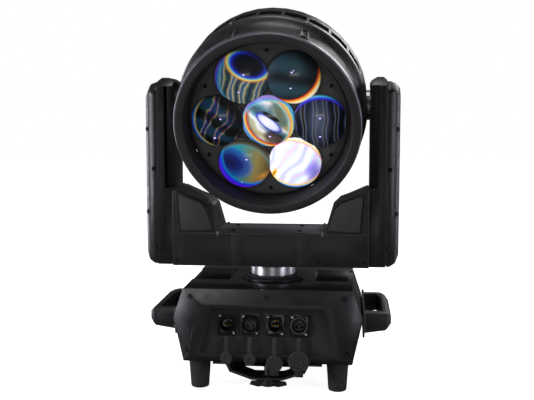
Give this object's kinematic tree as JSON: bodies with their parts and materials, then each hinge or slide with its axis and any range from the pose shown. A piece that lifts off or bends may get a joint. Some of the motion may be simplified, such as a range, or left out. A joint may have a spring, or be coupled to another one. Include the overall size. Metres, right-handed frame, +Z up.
{
  "type": "moving head light",
  "caption": "Moving head stage light: round zoom head with a turning lens ring, tilting in a two-armed yoke that pans on a six-sided base with feet and handles.",
  "frame": {"origin": "on the floor under the pan axis, which is also the middle of the bounding box's underside", "axes": "+Z up along the pan axis; +X across the yoke, along the tilt axis; the lenses and the connectors face -Y"},
  "size_m": [0.372, 0.2828, 0.5486],
  "materials": {
    "black_paint": "satin black powder coat",
    "moulded_black": "moulded, fine spark-eroded texture",
    "black_plastic": "fine matt texture",
    "rubber": "matt",
    "machined_aluminium": "turned",
    "cast_aluminium": "as cast, lightly brushed",
    "zinc_steel": "zinc plated",
    "lens_acrylic": "clear, polished",
    "lens_plate_grey": "matt dark grey",
    "circuit_board": "solder mask"
  },
  "bodies": {
    "base": {"base_shell": "black_paint", "base_front_cover": "moulded_black", "base_rear_cover": "moulded_black", "foot_front_left": "rubber", "foot_rear_left": "rubber", "foot_front_right": "rubber", "foot_rear_right": "rubber", "handle_left": "black_plastic", "handle_right": "black_plastic", "signal_in_socket": "black_plastic", "signal_out_socket": "black_plastic", "power_in_socket": "black_plastic", "power_out_socket": "black_plastic", "display_panel": "black_plastic", "pan_bearing": "black_paint", "pan_motor": "zinc_steel", "omega_bracket_front": "zinc_steel", "omega_bracket_rear": "zinc_steel"},
    "signal_in_cap_body": {"signal_in_cap": "rubber"},
    "signal_out_cap_body": {"signal_out_cap": "rubber"},
    "power_in_cap_body": {"power_in_cap": "rubber"},
    "power_out_cap_body": {"power_out_cap": "rubber"},
    "menu_button_body": {"menu_button": "rubber"},
    "up_button_body": {"up_button": "rubber"},
    "down_button_body": {"down_button": "rubber"},
    "enter_button_body": {"enter_button": "rubber"},
    "wing_bolt_front_body": {"wing_bolt_front": "black_plastic"},
    "wing_bolt_rear_body": {"wing_bolt_rear": "black_plastic"},
    "pan_pulley_body": {"pan_motor_pulley": "machined_aluminium"},
    "yoke": {"pan_spindle": "machined_aluminium", "yoke_bridge": "cast_aluminium", "yoke_rear_cover": "moulded_black", "yoke_front_cover": "moulded_black", "yoke_arm_left": "black_paint", "yoke_arm_right": "black_paint", "arm_cover_left": "moulded_black", "arm_cover_right": "moulded_black", "tilt_bearing_left": "zinc_steel", "tilt_bearing_right": "zinc_steel", "tilt_motor": "zinc_steel"},
    "tilt_pulley_body": {"tilt_motor_pulley": "machined_aluminium"},
    "head": {"front_bezel": "moulded_black", "head_casing": "moulded_black", "head_rear_cover": "moulded_black", "heatsink": "cast_aluminium", "led_board": "circuit_board", "zoom_motor": "zinc_steel", "tilt_shaft_right": "zinc_steel", "tilt_shaft_left": "zinc_steel"},
    "zoom_screw_body": {"zoom_screw": "zinc_steel"},
    "fan": {"fan_rotor": "black_plastic"},
    "zoom": {"zoom_carriage": "black_plastic"},
    "lens_ring": {"lens_plate": "lens_plate_grey", "lens_centre": "lens_acrylic", "lens_1": "lens_acrylic", "lens_2": "lens_acrylic", "lens_3": "lens_acrylic", "lens_4": "lens_acrylic", "lens_5": "lens_acrylic", "lens_6": "lens_acrylic"}
  },
  "joints": [
    {"name": "pan", "type": "hinge", "parent": "base", "child": "yoke", "pos_m": [0, 0, 0.16], "axis": [0, 0, 1], "range_deg": [-270, 270]},
    {"name": "tilt", "type": "hinge", "parent": "yoke", "child": "head", "pos_m": [0, 0, 0.407], "axis": [1, 0, 0], "range_deg": [-242.5, 27.5]},
    {"name": "zoom", "type": "slide", "parent": "head", "child": "zoom", "axis": [0, 0.9537, 0.3007], "range_m": [0, 0.033]},
    {"name": "lens_ring_turn", "type": "hinge", "parent": "zoom", "child": "lens_ring", "pos_m": [0, 0, 0.407], "axis": [0, -0.9537, -0.3007], "continuous": true},
    {"name": "fan_spin", "type": "hinge", "parent": "head", "child": "fan", "pos_m": [0, 0, 0.407], "axis": [0, -0.9537, -0.3007], "continuous": true},
    {"name": "zoom_screw_turn", "type": "hinge", "parent": "head", "child": "zoom_screw_body", "pos_m": [0.10176, -0.01767, 0.46303], "axis": [0, -0.9537, -0.3007], "range_deg": [0, 1500]},
    {"name": "pan_pulley_turn", "type": "hinge", "parent": "base", "child": "pan_pulley_body", "pos_m": [0.085, 0, 0.118], "axis": [0, 0, 1], "range_deg": [-1090, 1090]},
    {"name": "tilt_pulley_turn", "type": "hinge", "parent": "yoke", "child": "tilt_pulley_body", "pos_m": [-0.165, 0, 0.244], "axis": [1, 0, 0], "range_deg": [-590, 70]},
    {"name": "signal_in_cap_swing", "type": "hinge", "parent": "base", "child": "signal_in_cap_body", "pos_m": [-0.056, -0.1081, 0.0815], "axis": [-1, 0, 0], "range_deg": [0, 100]},
    {"name": "signal_out_cap_swing", "type": "hinge", "parent": "base", "child": "signal_out_cap_body", "pos_m": [-0.023, -0.1081, 0.0815], "axis": [-1, 0, 0], "range_deg": [0, 100]},
    {"name": "power_in_cap_swing", "type": "hinge", "parent": "base", "child": "power_in_cap_body", "pos_m": [0.012, -0.1081, 0.0815], "axis": [-1, 0, 0], "range_deg": [0, 100]},
    {"name": "power_out_cap_swing", "type": "hinge", "parent": "base", "child": "power_out_cap_body", "pos_m": [0.046, -0.1081, 0.0815], "axis": [-1, 0, 0], "range_deg": [0, 100]},
    {"name": "menu_button_press", "type": "slide", "parent": "base", "child": "menu_button_body", "axis": [0, -1, 0], "range_m": [0, 0.0015], "stiffness_N_per_m": 400, "springref_m": -0.001},
    {"name": "up_button_press", "type": "slide", "parent": "base", "child": "up_button_body", "axis": [0, -1, 0], "range_m": [0, 0.0015], "stiffness_N_per_m": 400, "springref_m": -0.001},
    {"name": "down_button_press", "type": "slide", "parent": "base", "child": "down_button_body", "axis": [0, -1, 0], "range_m": [0, 0.0015], "stiffness_N_per_m": 400, "springref_m": -0.001},
    {"name": "enter_button_press", "type": "slide", "parent": "base", "child": "enter_button_body", "axis": [0, -1, 0], "range_m": [0, 0.0015], "stiffness_N_per_m": 400, "springref_m": -0.001},
    {"name": "wing_bolt_front_turn", "type": "hinge", "parent": "base", "child": "wing_bolt_front_body", "pos_m": [0, -0.079, 0.02], "axis": [0, 0, 1], "continuous": true},
    {"name": "wing_bolt_rear_turn", "type": "hinge", "parent": "base", "child": "wing_bolt_rear_body", "pos_m": [0, 0.079, 0.02], "axis": [0, 0, 1], "continuous": true}
  ],
  "couplings": [
    {"joint": "pan_pulley_turn", "follows": "pan", "ratio": 4},
    {"joint": "tilt_pulley_turn", "follows": "tilt", "ratio": 2.4},
    {"joint": "zoom_screw_turn", "follows": "zoom", "rad_per_m": 785.4}
  ]
}
